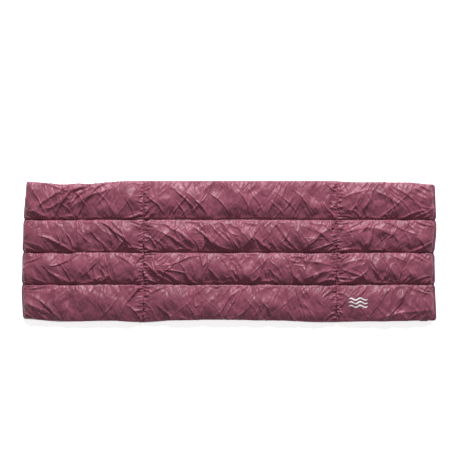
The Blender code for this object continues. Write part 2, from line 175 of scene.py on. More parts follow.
class WRAP_PG_Cloth(bpy.types.PropertyGroup):
    cell: FloatProperty(
        name="Cloth cell", description="Spacing of the cloth's mesh", default=0.0030, min=0.002,
        unit="LENGTH",
    )
    excess_along: FloatProperty(
        name="Gather along",
        description="Share by which the face is cut longer than the seams it is gathered into",
        default=0.048, subtype="FACTOR",
    )
    arch: FloatProperty(
        name="Channel arch",
        description="Height of the arch that the face is cut to reach over a channel",
        default=0.034, unit="LENGTH",
    )
    loft: FloatProperty(
        name="Loft", description="Height of the down over the seams, which the face rests on",
        default=0.025, unit="LENGTH",
    )
    wander: FloatProperty(
        name="Uneven gathering",
        description="How far the cloth slips along its seams, here one way and there the other",
        default=0.0028, unit="LENGTH",
    )
    wander_size: FloatProperty(
        name="Uneven gathering size", description="Length over which the slip changes its way",
        default=0.090, unit="LENGTH",
    )
    lean: FloatProperty(
        name="Lean",
        description="Slip of one seam against the next, which draws the creases aslant",
        default=0.006, unit="LENGTH",
    )
    crisp: FloatProperty(
        name="Crispness",
        description="Height of the sharp creases, as a share of that of thin calendered nylon",
        default=1.5, subtype="FACTOR",
    )
    crumple: FloatProperty(
        name="Crumple", description="Height of the random humps that the cloth starts from",
        default=0.005, unit="LENGTH",
    )
    bend: FloatProperty(
        name="Bending",
        description="Share of a sharp bend that the cloth takes back at each step", default=0.012,
        subtype="FACTOR",
    )
    squeeze: FloatProperty(
        name="Squeezing",
        description="Share of a shortening along its threads that the cloth takes back",
        default=0.4, subtype="FACTOR",
    )
    push: FloatProperty(
        name="Push", description="How far the down pushes the cloth outwards at each step",
        default=-0.000001, precision=6, unit="LENGTH",
    )
    settle: IntProperty(
        name="Settling steps", description="Steps of the cloth solver on each of its two grids",
        default=300,
    )


class WRAP_PG_Finish(bpy.types.PropertyGroup):
    nylon: StringProperty(
        name="Nylon colour", description="Colour of the dyed face cloth, as sRGB hex",
        default="#8E495E",
    )
    thread: StringProperty(
        name="Thread colour", description="Colour of the sewing thread, as sRGB hex",
        default="#5C2A3C",
    )
    gloss: FloatProperty(
        name="Nylon roughness", description="Roughness of the calendered face", default=0.47,
        subtype="FACTOR",
    )


class WRAP_PG_Stitch(bpy.types.PropertyGroup):
    pitch: FloatProperty(
        name="Stitch pitch", description="Distance from one stitch to the next", default=0.0042,
        unit="LENGTH",
    )
    length: FloatProperty(
        name="Stitch length", description="Length of thread that shows in one stitch",
        default=0.0030, unit="LENGTH",
    )
    thickness: FloatProperty(
        name="Thread thickness", description="Diameter of the sewing thread", default=0.0006,
        unit="LENGTH",
    )


class WRAP_PG_Stage(bpy.types.PropertyGroup):
    floor: StringProperty(
        name="Floor colour", description="Colour of the floor, as sRGB hex", default="#FAFAFA",
    )
    air: FloatProperty(
        name="Air", description="Strength of the even light from all round", default=0.24,
    )
    table: FloatProperty(
        name="Table", description="Strength of the light that comes through the white table",
        default=0.72,
    )
    window: FloatProperty(
        name="Window", description="Power of the large light beyond the back edge, in watts",
        default=345.0,
    )
    lens: FloatProperty(
        name="Lens", description="Focal length of the camera, in millimetres", default=100.0,
    )


# ---------------------------------------------------------------- materials


def linear(hex_colour):
    """An sRGB hex colour as linear RGBA."""
    shares = [int(hex_colour[i : i + 2], 16) / 255 for i in (1, 3, 5)]
    return (
        *(c / 12.92 if c <= 0.04045 else ((c + 0.055) / 1.055) ** 2.4 for c in shares),
        1.0,
    )


def add(tree, kind, settings=None, **links):
    """Adds a node with its settings. A link is a value for an input, or an output to join to it."""
    node = tree.nodes.new(kind)
    for name, value in (settings or {}).items():
        setattr(node, name, value)
    for name, value in links.items():
        key = int(name[1:]) if name[0] == "_" and name[1:].isdigit() else name.replace("_", " ")
        socket = node.inputs[key]
        if isinstance(value, bpy.types.NodeSocket):
            tree.links.new(value, socket)
        else:
            socket.default_value = value
    return node


def start(name):
    """A new material with its tree, its shader and its Object coordinates."""
    material = bpy.data.materials.new(name)
    material.use_nodes = True
    tree = material.node_tree
    shader = tree.nodes["Principled BSDF"]
    place = add(tree, "ShaderNodeTexCoord").outputs["Object"]
    return material, tree, shader, place


def noise(tree, place, scale, detail, rough):
    return add(
        tree, "ShaderNodeTexNoise", Vector=place, Scale=scale, Detail=detail, Roughness=rough
    ).outputs["Fac"]


def weave(tree, place, rate):
    """Crossing threads: a value that is high where one lies over another, used as relief, and in
    woven cloth also as a painted highlight.
    """
    across = add(tree, "ShaderNodeTexWave", {"bands_direction": "X"}, Vector=place, Scale=rate)
    along = add(tree, "ShaderNodeTexWave", {"bands_direction": "Y"}, Vector=place, Scale=rate)
    return add(
        tree, "ShaderNodeMath", {"operation": "MULTIPLY"},
        _0=across.outputs["Fac"], _1=along.outputs["Fac"],
    ).outputs[0]


def surface(tree, shader, colour, roughness, height, strength, depth):
    """Joins a colour, a constant roughness and a relief, depth in mm, to the shader."""
    tree.links.new(colour, shader.inputs["Base Color"])
    shader.inputs["Roughness"].default_value = roughness
    bump = add(tree, "ShaderNodeBump", Height=height, Strength=strength, Distance=depth * MM)
    tree.links.new(bump.outputs["Normal"], shader.inputs["Normal"])


def shaded(colour, share):
    """A colour a share as bright."""
    return tuple(min(share * c, 1.0) for c in linear(colour)[:3]) + (1.0,)


def ramp(tree, value, low, high, low_colour, high_colour):
    """Mixes two colours as a value goes from low to high."""
    share = add(
        tree, "ShaderNodeMapRange", Value=value, From_Min=low, From_Max=high
    ).outputs["Result"]
    mix = add(tree, "ShaderNodeMix", {"data_type": "RGBA"}, Factor=share)
    mix.inputs[6].default_value = low_colour
    mix.inputs[7].default_value = high_colour
    return mix.outputs[2]


def calendered_nylon(name, colour, roughness, crushed):
    """Cire nylon taffeta: a thin plain weave, hot-rolled on one side. It shines in soft streaks on
    its creases, stays darker where it faces away, and its dye reads greyer in the gloss."""
    material, tree, shader, place = start(name)
    cloud = noise(tree, place, 16.0, 4.0, 0.6)
    dye = ramp(tree, cloud, 0.30, 0.70, shaded(colour, 0.80), shaded(colour, 1.12))
    tree.links.new(dye, shader.inputs["Base Color"])
    rough = add(
        tree, "ShaderNodeMapRange", Value=noise(tree, place, 60.0, 3.0, 0.5),
        From_Min=0.3, From_Max=0.7, To_Min=roughness - 0.07, To_Max=roughness + 0.07,
    ).outputs["Result"]
    tree.links.new(rough, shader.inputs["Roughness"])
    shader.inputs["IOR"].default_value = 1.46
    shader.inputs["Sheen Weight"].default_value = 0.18
    shader.inputs["Sheen Roughness"].default_value = 0.45
    shader.inputs["Sheen Tint"].default_value = (0.95, 0.72, 0.80, 1.0)
    # flat facets that meet in sharp edges, as in crushed film, leaning one way and then the other
    stray = add(tree, "ShaderNodeTexNoise", Vector=place, Scale=9.0, Detail=2.0).outputs["Color"]
    stray = add(
        tree, "ShaderNodeVectorMath", {"operation": "SCALE"}, _0=stray, Scale=0.06
    ).outputs[0]
    strayed = add(
        tree, "ShaderNodeVectorMath", {"operation": "ADD"}, _0=place, _1=stray
    ).outputs[0]
    folds = None
    for scale, depth, turn in ((24.0, 7.0, 0.6), (60.0, 1.6, -0.5)):
        turned = add(
            tree, "ShaderNodeMapping", Vector=strayed, Rotation=(0, 0, turn), Scale=(1, 0.55, 1)
        ).outputs[0]
        facet = add(
            tree, "ShaderNodeTexVoronoi",
            {"feature": "DISTANCE_TO_EDGE", "voronoi_dimensions": "2D"},
            Vector=turned, Scale=scale,
        ).outputs["Distance"]
        bump = add(
            tree, "ShaderNodeBump", Height=facet, Strength=1.0, Distance=crushed * depth * MM
        )
        if folds:
            tree.links.new(folds, bump.inputs["Normal"])
        folds = bump.outputs["Normal"]
    # threads are 0.1 mm apart: drawn at 1.2 mm so that they show at all
    cloth = add(
        tree, "ShaderNodeBump", Height=weave(tree, place, 260.0), Strength=0.108,
        Distance=0.1 * MM, Normal=folds,
    ).outputs["Normal"]
    tree.links.new(cloth, shader.inputs["Normal"])
    return material


def fibrous(name, colour, deep, scale, depth=0.6):
    """A mat of loose or needled fibre: no gloss, small painted shadows between the fibres, where
    the fibre lies lower.
    """
    material, tree, shader, place = start(name)
    fibre = noise(tree, place, scale, 6.0, 0.75)
    # painted shade: the colour goes to the deep colour where the fibre relief is low, between the
    # fibres
    tint = ramp(tree, fibre, 0.32, 0.62, linear(deep), linear(colour))
    surface(tree, shader, tint, 0.95, fibre, 0.7, depth)
    return material


def woven(name, colour, deep, pitch, roughness=0.8):
    """A plain open weave whose threads lie pitch apart, with a painted highlight on each crossing
    and painted shade between the crossings.
    """
    material, tree, shader, place = start(name)
    crossing = weave(tree, place, 2 * math.pi / pitch / 20)
    # painted light: the threads' colour on the crossings as a painted highlight, the deep colour
    # between them as painted shade
    tint = ramp(tree, crossing, 0.0, 0.7, linear(deep), linear(colour))
    surface(tree, shader, tint, roughness, crossing, 0.5, 0.15)
    return material


def aluminised_foil():
    """Aluminium vapour on film: a bright grey metal, softly crinkled, with no colour of its own,
    and painted shade along the creases of its crinkles.
    """
    material, tree, shader, place = start("aluminised foil")
    shader.inputs["Metallic"].default_value = 1.0
    crinkle = add(
        tree, "ShaderNodeTexVoronoi", {"feature": "DISTANCE_TO_EDGE"}, Vector=place, Scale=55.0
    ).outputs["Distance"]
    # painted shade: #B9BCC0 along the low crinkle edges, #DFE1E3 on the flat facets
    tint = ramp(tree, crinkle, 0.0, 0.35, linear("#B9BCC0"), linear("#DFE1E3"))
    surface(tree, shader, tint, 0.24, crinkle, 0.6, 0.5)
    return material


def moulded(name, colour, roughness, grit=900.0):
    """Injection-moulded plastic: an even colour with the fine spark-eroded texture of its mould,
    and painted shade, a fifth darker, in the pits of that texture.
    """
    material, tree, shader, place = start(name)
    texture = noise(tree, place, grit, 2.0, 0.5)
    # painted shade: the colour is made darker where the texture is low
    tint = ramp(tree, texture, 0.35, 0.65, shaded(colour, 0.8), linear(colour))
    surface(tree, shader, tint, roughness, texture, 0.3, 0.05)
    return material


def drawn_metal(name, colour, roughness):
    """Pressed or drawn sheet metal: fine lines one way, painted brighter where they would catch the
    light, as a painted highlight, and painted shade in the low lines.
    """
    material, tree, shader, place = start(name)
    shader.inputs["Metallic"].default_value = 1.0
    stretched = add(tree, "ShaderNodeMapping", Vector=place, Scale=(60.0, 1.0, 60.0)).outputs[0]
    lines = noise(tree, stretched, 60.0, 4.0, 0.6)
    # painted highlight and shade: full colour on the high lines, 0.82 as bright on the low lines
    tint = ramp(tree, lines, 0.3, 0.7, shaded(colour, 0.82), linear(colour))
    surface(tree, shader, tint, roughness, lines, 0.25, 0.05)
    return material


def twisted_thread(colour):
    """Polyester sewing thread: a soft shine broken up by its twist, with painted shade in the
    grooves of the twist.
    """
    material, tree, shader, place = start("polyester thread")
    twist = add(
        tree, "ShaderNodeTexWave", {"bands_direction": "DIAGONAL"}, Vector=place, Scale=500.0
    ).outputs["Fac"]
    # painted shade: the colour is 0.6 as bright in the low grooves of the twist
    tint = ramp(tree, twist, 0.1, 0.9, shaded(colour, 0.6), linear(colour))
    surface(tree, shader, tint, 0.55, twist, 0.4, 0.1)
    return material


def transfer_film():
    """Heat-pressed silver transfer: a thin film with glass beads, so it is bright from all sides,
    a little grainy, and worn through in specks."""
    material, tree, shader, place = start("silver transfer film")
    beads = noise(tree, place, 700.0, 3.0, 0.7)
    tint = ramp(tree, beads, 0.30, 0.50, linear("#B7B3B6"), linear("#F4F5F6"))
    shader.inputs["Metallic"].default_value = 0.15
    surface(tree, shader, tint, 0.45, beads, 0.3, 0.08)
    return material


# ---------------------------------------------------------------- cloth


def smooth(share):
    """A share from 0 to 1 that starts and ends gently."""
    return share * share * (3 - 2 * share)


def eased(places, x):
    """A smooth line through a few (place, value) points."""
    x = np.asarray(x, float)
    at = np.array([p for p, _ in places])
    value = np.array([v for _, v in places])
    i = np.clip(np.searchsorted(at, x, side="right") - 1, 0, len(at) - 2)
    share = np.clip((x - at[i]) / (at[i + 1] - at[i]), 0, 1)
    return value[i] + (value[i + 1] - value[i]) * smooth(share)


def waves(x, y, size, seed, count=14):
    """Smooth irregular waves about one unit high, with humps of about this size."""
    rng = np.random.default_rng(seed)
    total = np.zeros(np.broadcast(x, y).shape)
    for _ in range(count):
        turn = rng.uniform(0, 2 * math.pi)
        rate = 2 * math.pi / (size * rng.uniform(0.6, 1.7))
        shift = rng.uniform(0, 2 * math.pi)
        total += np.sin((x * math.cos(turn) + y * math.sin(turn)) * rate + shift)
    return total / math.sqrt(count)


def stations(ends, cell):
    """Even steps between each pair of ends, an even number of them so that they can be halved."""
    out = []
    for a, b in zip(ends, ends[1:]):
        count = 2 * max(1, round((b - a) / cell / 2))
        out += [a + (b - a) * i / count for i in range(count)]
    return np.array(out + [ends[-1]])


def halfway(values):
    """Puts a new row or column halfway between each two along the first axis."""
    out = np.empty((2 * len(values) - 1, *values.shape[1:]), values.dtype)
    out[::2] = values
    out[1::2] = (values[1:] + values[:-1]) / 2
    return out


def refined(values):
    return np.ascontiguousarray(halfway(halfway(values).swapaxes(0, 1)).swapaxes(0, 1))


class Quilt:
    """The quilted face on one grid: where it is held, how it was cut and what it rests on."""

    def __init__(self, columns, rows, cloth):
        self.columns, self.rows, self.cloth = columns, rows, cloth
        lines = np.array(LINES)
        x, nominal = np.meshgrid(columns, rows, indexing="ij")
        channel = np.clip(np.searchsorted(lines, nominal + 1e-9, side="right") - 1, 0, 3)
        share = (nominal - lines[channel]) / (lines[channel + 1] - lines[channel])
        self.share = np.clip(share, 0, 1)
        self.channel = channel
        # from the nominal grid to the real outline
        from_end = END - np.abs(x)
        corner = np.clip(CORNER_RADIUS - from_end, 0, CORNER_RADIUS)
        corner = CORNER_RADIUS - np.sqrt(CORNER_RADIUS**2 - corner**2)
        back = HALF_WIDTH - eased(PULL_BACK_EDGE, x) - corner
        front = HALF_WIDTH - eased(PULL_FRONT_EDGE, x) - corner
        y = nominal.copy()
        outer = nominal > CHANNEL_SEAMS[2]
        stretch = (nominal - CHANNEL_SEAMS[2]) / (HALF_WIDTH - CHANNEL_SEAMS[2])
        y[outer] = (CHANNEL_SEAMS[2] + stretch * (back - CHANNEL_SEAMS[2]))[outer]
        outer = nominal < CHANNEL_SEAMS[0]
        stretch = (nominal - CHANNEL_SEAMS[0]) / (-HALF_WIDTH - CHANNEL_SEAMS[0])
        y[outer] = (CHANNEL_SEAMS[0] - stretch * (front + CHANNEL_SEAMS[0]))[outer]
        near_end = np.clip(1 - from_end / 0.10, 0, 1) ** 2
        pull = np.where(x < 0, eased(PULL_LEFT_END, y), -eased(PULL_RIGHT_END, y))
        nearest = np.min([np.abs(nominal - seam) for seam in CHANNEL_SEAMS], axis=0)
        notch = 5.0 * MM * np.exp(-((nearest / (9 * MM)) ** 2)) * np.clip(1 - from_end / 0.03, 0, 1)
        self.x = x + pull * near_end - np.sign(x) * notch
        # seams are not sewn quite straight
        self.y = y + 1.2 * MM * waves(x, 0 * x, 0.22, 5) * self.inner(nominal)
        self.nominal_x, self.nominal_y = x, nominal
        self.arch = np.sin(math.pi * self.share)
        self.from_seam = np.minimum(np.abs(x - LEFT_SEAM), np.abs(x - RIGHT_SEAM))
        hem = np.where(x < 0, LEFT_HEM, HEM)
        self.from_hem = np.maximum(from_end - hem, 0)
        self.hemmed = from_end < 0.85 * hem
        self.rise = self.risen(self.from_seam, 0.075) * self.risen(self.from_hem, 0.045)

    @staticmethod
    def inner(nominal):
        return np.clip(1 - np.abs(nominal) / HALF_WIDTH, 0, 1) ** 0.5

    @staticmethod
    def risen(distance, reach):
        return np.sin(math.pi / 2 * np.clip(distance / reach, 0, 1)) ** 0.7

    def floor(self):
        """The top of the down, which the face can't sink into."""
        bumps = 1 + 0.16 * waves(self.x, self.y, 0.11, 31)
        loft = self.cloth.loft * self.arch**0.6 * self.rise * bumps
        return (self.base() + loft).astype(np.float32)

    def base(self):
        """The seam level: the quilting in the middle, and down to the hem at the edges."""
        to_edge = HALF_WIDTH - np.abs(self.nominal_y)
        inside = np.clip(np.minimum(to_edge, self.from_hem) / 0.012, 0, 1)
        level = HEM_LEVEL + (VALLEY - HEM_LEVEL) * smooth(inside)
        low, high = box_of("inlet_housing")
        over = np.clip(1.6 - np.abs(self.x - (low.x + high.x) / 2) / (high.x - low.x) * 2, 0, 1)
        over *= np.clip((-self.nominal_y - HALF_WIDTH + 0.035) / 0.010, 0, 1)
        level += 4.5 * MM * self.arch * np.clip(1 - self.from_seam / 0.02, 0, 1)
        return np.maximum(level, HEM_LEVEL + (high.z + 1.0 * MM - HEM_LEVEL) * smooth(over))

    def start(self):
        height = self.base() + 0.9 * self.cloth.arch * self.arch**0.7 * self.rise
        rough = waves(self.x, self.y * 0.8, 0.05, 3) + 0.5 * waves(self.x, self.y, 0.022, 4)
        height += self.cloth.crumple * rough * self.arch**0.5 * self.rise
        return np.stack([self.x, self.y, height], -1).astype(np.float32)

    def cut(self):
        """The flat cloth: each point's place along and across it."""
        cloth = self.cloth
        height = cloth.arch * self.arch[0] ** 0.75
        step = np.hypot(np.diff(self.rows), np.diff(height))
        across = np.concatenate([[0], np.cumsum(step)]) + 0 * self.x
        along = self.nominal_x * (1 + cloth.excess_along)
        # uneven gathering, and panels pulled askew so that creases run slantwise
        along += cloth.wander * waves(self.nominal_x, self.nominal_y * 1.3, cloth.wander_size, 7)
        along += 0.4 * cloth.wander * waves(self.nominal_x, self.nominal_y, 0.035, 8)
        across += 0.5 * cloth.wander * waves(self.nominal_x, self.nominal_y, cloth.wander_size, 9)
        lean = np.array(SEAM_LEAN)[self.channel] * self.risen(self.from_hem, 0.2)
        along += cloth.lean * lean * (self.share - 0.5) * eased(LEAN_ALONG, self.nominal_x)
        return np.stack([along, across], -1).astype(np.float32)

    def free(self):
        """1 where the cloth can move, and 0 where it is sewn down."""
        free = np.ones(self.x.shape, np.float32)
        for line in LINES:
            free[:, np.isclose(self.rows, line, atol=1e-6)] = 0
        for line in (-END, LEFT_SEAM, RIGHT_SEAM, END):
            free[np.isclose(self.columns, line, atol=1e-6)] = 0
        free[self.hemmed] = 0
        return free


def links_of(shape):
    """The cloth's threads, as pairs of grid slices that share no point: along, across, on both
    slants, and the longer ones that resist a sharp bend."""
    nx, ny = shape
    every, found = slice(None), []
    for k in (0, 1):
        n = (nx - k) // 2 * 2
        near, far = slice(k, k + n, 2), slice(k + 1, k + n + 1, 2)
        found.append((False, (near, every), (far, every)))
        found.append((False, (near, slice(0, ny - 1)), (far, slice(1, ny))))
        found.append((False, (near, slice(1, ny)), (far, slice(0, ny - 1))))
        n = (ny - k) // 2 * 2
        near, far = slice(k, k + n, 2), slice(k + 1, k + n + 1, 2)
        found.append((False, (every, near), (every, far)))
    for k in range(4):
        n = len(range(k, nx - 2, 4))
        near, far = slice(k, k + 4 * n, 4), slice(k + 2, k + 2 + 4 * n, 4)
        found.append((True, (near, every), (far, every)))
        n = len(range(k, ny - 2, 4))
        near, far = slice(k, k + 4 * n, 4), slice(k + 2, k + 2 + 4 * n, 4)
        found.append((True, (every, near), (every, far)))
    return found


def normals_of(points):
    along = np.gradient(points, axis=0)
    across = np.gradient(points, axis=1)
    normal = np.cross(along, across)
    return normal / np.maximum(np.linalg.norm(normal, axis=-1, keepdims=True), 1e-12)


def settle(points, quilt, steps, cloth, drag=0.96):
    """Lets the cloth come to rest: it keeps its cut lengths, resists a sharp bend, gives way a
    little when it is pressed together, and is pushed outwards a little at each step."""
    flat, free, floor = quilt.cut(), quilt.free(), quilt.floor()
    ceiling = CROWN - 0.4 * MM
    threads = []
    for bends, a, b in links_of(free.shape):
        rest = np.sqrt(((flat[a] - flat[b]) ** 2).sum(-1))
        total = np.maximum(free[a] + free[b], 1e-9)[..., None]
        threads.append((bends, a, b, rest, free[a][..., None] / total, free[b][..., None] / total))
    before, loose = points.copy(), free[..., None]
    for _ in range(steps):
        moved = (points - before) * drag
        before = points.copy()
        points = points + (moved + normals_of(points) * cloth.push) * loose
        for _ in range(2):
            for bends, a, b, rest, share_a, share_b in threads:
                gap = points[b] - points[a]
                length = np.sqrt((gap * gap).sum(-1))
                pull = (length - rest) / np.maximum(length, 1e-9)
                if bends:
                    pull = np.where(length < rest, pull * cloth.bend, 0)
                else:
                    pull = np.where(length < rest, pull * cloth.squeeze, pull)
                gap *= pull[..., None].astype(np.float32)
                points[a] += gap * share_a
                points[b] -= gap * share_b
        high = points[..., 2]
        np.maximum(high, floor, out=high, where=free > 0)
        np.minimum(high, ceiling, out=high)
    return points.astype(np.float32)


def crumples(quilt):
    """Flat facets that meet in sharp creases. They slant one way over the front half of a channel
    and the other way over its back half, as cloth does that is held by both of its seams."""
    channel = 0.14
    bent = np.sqrt((quilt.share - 0.5) ** 2 + 0.01) * channel
    slant = quilt.x - 0.55 * bent + 0.05 * quilt.y
    across = quilt.y * 0.55
    height = 0
    for size, amount, seed in FACETS:
        height = height - amount * MM * np.abs(waves(slant, across, size, seed))
    patchy = 0.75 + 0.35 * waves(quilt.x, quilt.y, 0.30, 45)
    near_seam = np.minimum(quilt.share, 1 - quilt.share) / 0.10
    fade = np.clip(near_seam, 0, 1) * np.clip(quilt.from_seam / 0.012, 0, 1)
    return height * np.clip(patchy, 0.3, 1.3) * fade * np.clip(quilt.from_hem / 0.006, 0, 1)


def creases(quilt):
    """Single sharp creases: long ones down to the front seam of each channel, short puckers under
    its back seam, and ruffles on both sides of the cross seams."""
    rng = np.random.default_rng(12)
    found = []
    for low, high in zip(LINES, LINES[1:]):
        wide = high - low
        for pitch, way, tops, feet, slants, heights in LONG_CREASES:
            for x in np.arange(-END, END, pitch):
                x += rng.uniform(0, pitch)
                top = low + wide * rng.uniform(*tops)
                foot = low + wide * rng.uniform(*feet)
                shift = way * (top - foot) * rng.uniform(*slants)
                found.append(((x, top), (x + shift, foot), rng.uniform(*heights), 2.3))
        for x in np.arange(-END, END, 0.022):
            x += rng.uniform(0, 0.018)
            foot = high - wide * rng.uniform(0.14, 0.34)
            shift = (high - foot) * rng.uniform(0.2, 1.0)
            found.append(((x, high - 3 * MM), (x - shift, foot), rng.uniform(0.9, 2.4), 2.1))
        for seam in (LEFT_SEAM, RIGHT_SEAM):
            for side in (-1, 1):
                for y in np.arange(low + 4 * MM, high - 4 * MM, 0.0135):
                    y += rng.uniform(0, 0.006)
                    reach = rng.uniform(0.012, 0.042)
                    tilt = rng.uniform(-0.3, 0.3) * reach
                    ends = ((seam + side * 2 * MM, y), (seam + side * reach, y + tilt))
                    found.append((*ends, rng.uniform(1.8, 3.8), 2.6))
    total = np.zeros(quilt.x.shape)
    for (ax, ay), (bx, by), amount, width in (*found, *SET_FOLDS):
        round_it = 4 * width * MM
        i = np.searchsorted(quilt.columns, (min(ax, bx) - round_it, max(ax, bx) + round_it))
        j = np.searchsorted(quilt.rows, (min(ay, by) - round_it, max(ay, by) + round_it))
        part = np.s_[i[0] : i[1], j[0] : j[1]]
        px, py = quilt.x[part] - ax, quilt.y[part] - ay
        vx, vy = bx - ax, by - ay
        along = (px * vx + py * vy) / (vx * vx + vy * vy)
        bow = 0.05 * math.hypot(vx, vy) * np.sin(math.pi * np.clip(along, 0, 1))
        away = np.abs((px * vy - py * vx) / math.hypot(vx, vy) + bow)
        taper = np.sin(math.pi * np.clip(along, 0, 1)) ** 0.6
        total[part] += amount * MM * taper * np.exp(-away / (width * MM))
    return total * np.clip(quilt.from_hem / 0.006, 0, 1)


def settled_face(cloth):
    """The face after gathering: first on a coarse grid, then on one twice as fine."""
    columns = stations(STOPS, 2 * cloth.cell)
    rows = stations(LINES, 2 * cloth.cell)
    coarse = Quilt(columns, rows, cloth)
    points = coarse.start()
    steps = cloth.settle
    points = settle(points, coarse, steps, cloth)
    fine = Quilt(halfway(columns), halfway(rows), cloth)
    held = fine.start()
    points = refined(points)
    sewn = fine.free() == 0
    points[sewn] = held[sewn]
    ripple = 0.35 * MM * waves(fine.x, fine.y, 0.014, 11) * fine.arch * fine.rise
    points[..., 2] += ripple.astype(np.float32)
    points = settle(points, fine, steps, cloth)
    # the finest grid's own roughness is not cloth
    mean = points.copy()
    mean[1:-1, 1:-1] = (
        points[:-2, 1:-1] + points[2:, 1:-1] + points[1:-1, :-2] + points[1:-1, 2:]
    ) / 4
    points = np.where(sewn[..., None], points, points * 0.75 + mean * 0.25)
    height = (crumples(fine) + creases(fine)) * cloth.crisp
    height = np.where(sewn, 0, height).astype(np.float32)[..., None]
    return points + normals_of(points) * height, fine


# ---------------------------------------------------------------- meshes


STATE = {}


def finish_object(name, mesh, material):
    mesh.name = name
    mesh.materials.clear()
    mesh.materials.append(material)
    obj = bpy.data.objects.new(name, mesh)
    bpy.context.scene.collection.objects.link(obj)
    return obj


def hang(obj):
    """Bakes a soft piece's placement into its mesh."""
    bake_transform(obj)
    return obj


def body_of(part):
    return "centre" if part.startswith("centre") else part


def slab(name, upper, lower):
    """A closed mesh: one grid of points on top, one underneath, and a rim round both."""
    nx, ny = upper.shape[:2]
    index = np.arange(nx * ny).reshape(nx, ny)
    outer = np.stack([index[:-1, :-1], index[1:, :-1], index[1:, 1:], index[:-1, 1:]], -1)
    outer = outer.reshape(-1, 4)
    loop = np.concatenate([index[:, 0], index[-1, 1:], index[-2::-1, -1], index[0, -2:0:-1]])
    after = np.roll(loop, -1)
    rim = np.stack([loop, loop + nx * ny, after + nx * ny, after], -1)
    faces = np.concatenate([outer, outer[:, ::-1] + nx * ny, rim])
    vertices = np.concatenate([upper.reshape(-1, 3), lower.reshape(-1, 3)])
    mesh = bpy.data.meshes.new(name)
    mesh.vertices.add(len(vertices))
    mesh.vertices.foreach_set("co", vertices.astype(np.float32).ravel())
    mesh.loops.add(4 * len(faces))
    mesh.loops.foreach_set("vertex_index", faces.astype(np.int32).ravel())
    mesh.polygons.add(len(faces))
    mesh.polygons.foreach_set("loop_start", np.arange(0, 4 * len(faces), 4, dtype=np.int32))
    mesh.update(calc_edges=True)
    mesh.validate()
    mesh.shade_smooth()
    return mesh


def shell_from_grid(name, points, normals, thickness, material):
    """A closed skin: the grid outside, and the same a little deeper inside."""
    mesh = slab(name, points, points - normals * thickness)
    both = np.concatenate([normals.reshape(-1, 3), -normals.reshape(-1, 3)])
    mesh.normals_split_custom_set_from_vertices(both.astype(np.float32))
    return finish_object(name, mesh, material)


def columns_of(quilt, part):
    low, high = PARTS[part]
    found = np.flatnonzero((quilt.columns > low - 1e-6) & (quilt.columns < high + 1e-6))
    return slice(found[0], found[-1] + 1)


def tucked(co):
    """Draws the outermost strip of a layer in, to lie clear of the face where it comes down."""
    edge = abs(co.y) - (HALF_WIDTH - EDGE_STRIP)
    end = abs(co.x) - (END - END_STRIP)
    if edge > 0:
        co.y -= math.copysign(0.45 * edge, co.y)
    if end > 0:
        co.x -= math.copysign(0.36 * end, co.x)


def supple_copy(node, part, material):
    """A copy of a flat inner layer, cut finely enough across its length to bend at the fold."""
    source = frame["nodes"][node]
    work = bmesh.new()
    work.from_mesh(source.data)
    bmesh.ops.remove_doubles(work, verts=work.verts, dist=1e-6)
    low, high = PARTS[part]
    seam = LEFT_SEAM if part in ("left", "centre_west") else RIGHT_SEAM
    cuts = np.arange(seam - BLEND_REACH, seam + BLEND_REACH + 1e-6, BLEND_REACH / 8)
    for x in cuts:
        whole = work.verts[:] + work.edges[:] + work.faces[:]
        bmesh.ops.bisect_plane(work, geom=whole, plane_co=(x, 0, 0), plane_no=(1, 0, 0))
    for x, side in ((low, 1), (high, -1)):
        whole = work.verts[:] + work.edges[:] + work.faces[:]
        cut = bmesh.ops.bisect_plane(
            work, geom=whole, plane_co=(x, 0, 0), plane_no=(side, 0, 0), clear_inner=True
        )
        rim = [e for e in cut["geom_cut"] if isinstance(e, bmesh.types.BMEdge)]
        if rim:
            bmesh.ops.holes_fill(work, edges=rim)
    bmesh.ops.triangulate(work, faces=work.faces)
    if not node.startswith("lead"):
        for vertex in work.verts:
            tucked(vertex.co)
    mesh = bpy.data.meshes.new(node)
    work.to_mesh(mesh)
    work.free()
    name = f"{node}_{part}" if part.startswith("centre") else node
    name = name.replace("_centre_centre", "_centre")
    obj = finish_object(f"soft_{name}", mesh, material)
    hang(obj)
    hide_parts(node)
    return obj


def parts_of(body):
    return [p for p in PARTS if body_of(p) == body]


# ---------------------------------------------------------------- operators


class WRAP_OT_face(bpy.types.Operator):
    """Gathers the nylon face over the channels"""

    bl_idname = "wrap.face"
    bl_label = "Quilted face"

    def execute(self, context):
        scene = context.scene
        points, quilt = settled_face(scene.wrap_cloth)
        STATE["face"], STATE["quilt"] = points, quilt
        finish = scene.wrap_finish
        nylon = calendered_nylon("wine cire nylon", finish.nylon, finish.gloss, 1.0)
        normals = normals_of(points)
        for part in PARTS:
            span = columns_of(quilt, part)
            obj = shell_from_grid(
                f"face_cloth_{part}", points[span], normals[span], FACE_THICKNESS, nylon,
            )
            hang(obj)
            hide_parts(f"face_{body_of(part)}")
        return {"FINISHED"}


